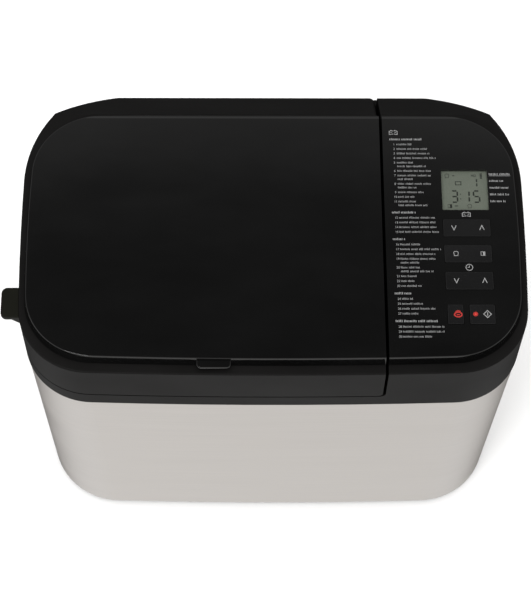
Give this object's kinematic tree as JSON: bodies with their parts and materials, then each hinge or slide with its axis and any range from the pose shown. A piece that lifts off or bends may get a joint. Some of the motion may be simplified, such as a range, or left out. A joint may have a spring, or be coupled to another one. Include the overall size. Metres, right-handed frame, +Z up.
{
  "type": "bread machine",
  "caption": "Countertop bread machine with a steel wrap, hinged lid with ingredient dispensers, gloss control panel, lift-out pan, kneading blade and belt drive.",
  "frame": {"origin": "on the worktop, under the middle of the overall width and depth", "axes": "+X to the user's right, +Y to the back, +Z up; the front and its keys face -Y"},
  "size_m": [0.389, 0.258, 0.3245],
  "materials": {
    "wrap_steel": "brushed stainless sheet, horizontal grain",
    "frame_plastic": "fine matte moulding",
    "tab_plastic": "matte moulding",
    "gloss_black": "polished black",
    "key_plastic": "polished black key cap",
    "display_glass": "clear window",
    "display_screen": "grey-green liquid crystal display",
    "rubber": "dark rubber",
    "seal": "pale silicone",
    "board": "green circuit board",
    "well_metal": "plated sheet",
    "heater_metal": "oxidised sheath",
    "cast_metal": "die-cast",
    "shaft_steel": "turned or drawn bright steel",
    "lid_metal": "bright lid lining",
    "box_plastic": "grey moulding",
    "pan_coating": "dark non-stick coating"
  },
  "bodies": {
    "housing": {"steel_wrap": "wrap_steel", "cord_gland": "rubber", "base_tray": "frame_plastic", "rubber_feet": "rubber", "upper_frame": "frame_plastic", "control_plate": "gloss_black", "display_window": "display_glass", "display_module": "display_screen", "key_frame": "frame_plastic", "control_board": "board", "key_switches": "frame_plastic", "power_board": "board", "board_parts": "frame_plastic", "oven_chamber": "well_metal", "heater_element": "heater_metal", "heater_clips": "well_metal", "temperature_sensor": "heater_metal", "pan_seat": "well_metal", "spindle_bearing": "cast_metal", "drive_bracket": "well_metal", "motor_case": "well_metal", "drive_belt": "rubber", "bracket_screws": "shaft_steel", "well_screws": "shaft_steel", "hinge_pins": "shaft_steel"},
    "lid": {"lid_shell": "frame_plastic", "side_tab": "tab_plastic", "lid_inner_plate": "lid_metal", "lid_gasket": "seal", "dispenser_box": "box_plastic", "yeast_box": "box_plastic", "cover_pins": "shaft_steel"},
    "top_cover": {"top_cover": "gloss_black"},
    "dispenser_flap": {"dispenser_flap": "box_plastic"},
    "yeast_flap": {"yeast_flap": "box_plastic"},
    "pan": {"bread_pan": "pan_coating", "pan_collar": "cast_metal", "shaft_bush": "cast_metal"},
    "pan_handle": {"pan_handle": "shaft_steel"},
    "mixer": {"pan_shaft": "shaft_steel", "kneading_blade": "pan_coating"},
    "drive": {"drive_spindle": "shaft_steel", "driven_pulley": "frame_plastic"},
    "motor_rotor": {"motor_shaft": "shaft_steel", "motor_pulley": "cast_metal"},
    "programme_key": {"programme_key": "key_plastic"},
    "size_key": {"size_key": "key_plastic"},
    "timer_key": {"timer_key": "key_plastic"},
    "stop_key": {"stop_key": "key_plastic"},
    "start_key": {"start_key": "key_plastic"}
  },
  "joints": [
    {"name": "lid_hinge", "type": "hinge", "parent": "housing", "child": "lid", "pos_m": [0.0058, 0.1184, 0.2808], "axis": [-1, 0, 0], "range_deg": [0, 95]},
    {"name": "cover_hinge", "type": "hinge", "parent": "lid", "child": "top_cover", "pos_m": [0.0058, 0.08075, 0.31965], "axis": [-1, 0, 0], "range_deg": [0, 80]},
    {"name": "dispenser_flap_hinge", "type": "hinge", "parent": "lid", "child": "dispenser_flap", "pos_m": [-0.0642, 0.007, 0.2735], "axis": [1, 0, 0], "range_deg": [0, 80]},
    {"name": "yeast_flap_hinge", "type": "hinge", "parent": "lid", "child": "yeast_flap", "pos_m": [0.0103, -0.002, 0.2735], "axis": [1, 0, 0], "range_deg": [0, 80]},
    {"name": "pan_lift", "type": "slide", "parent": "housing", "child": "pan", "axis": [0, 0, 1], "range_m": [0, 0.008]},
    {"name": "pan_handle_swing", "type": "hinge", "parent": "pan", "child": "pan_handle", "pos_m": [-0.0482, -0.006, 0.2415], "axis": [-1, 0, 0], "range_deg": [0, 14]},
    {"name": "spindle_spin", "type": "hinge", "parent": "housing", "child": "drive", "pos_m": [-0.0482, -0.006, 0.04], "axis": [0, 0, 1], "continuous": true},
    {"name": "mixer_spin", "type": "hinge", "parent": "pan", "child": "mixer", "pos_m": [-0.0482, -0.006, 0.1], "axis": [0, 0, 1], "continuous": true},
    {"name": "motor_spin", "type": "hinge", "parent": "housing", "child": "motor_rotor", "pos_m": [0.1238, -0.006, 0.04], "axis": [0, 0, 1], "continuous": true},
    {"name": "programme_key_rock", "type": "hinge", "parent": "housing", "child": "programme_key", "pos_m": [0.1498, -0.0135, 0.3195], "axis": [0, 1, 0], "range_deg": [-2.5, 2.5], "stiffness_Nm_per_rad": 0.02},
    {"name": "size_key_rock", "type": "hinge", "parent": "housing", "child": "size_key", "pos_m": [0.1498, -0.0351, 0.3195], "axis": [0, 1, 0], "range_deg": [-2.5, 2.5], "stiffness_Nm_per_rad": 0.02},
    {"name": "timer_key_rock", "type": "hinge", "parent": "housing", "child": "timer_key", "pos_m": [0.1498, -0.0573, 0.3195], "axis": [0, 1, 0], "range_deg": [-2.5, 2.5], "stiffness_Nm_per_rad": 0.02},
    {"name": "stop_key_press", "type": "slide", "parent": "housing", "child": "stop_key", "axis": [0, 0, -1], "range_m": [0, 0.0012], "stiffness_N_per_m": 400, "springref_m": -0.001},
    {"name": "start_key_press", "type": "slide", "parent": "housing", "child": "start_key", "axis": [0, 0, -1], "range_m": [0, 0.0012], "stiffness_N_per_m": 400, "springref_m": -0.001}
  ],
  "couplings": [
    {"joint": "spindle_spin", "follows": "motor_spin", "ratio": 0.21053},
    {"joint": "mixer_spin", "follows": "motor_spin", "ratio": 0.21053}
  ]
}
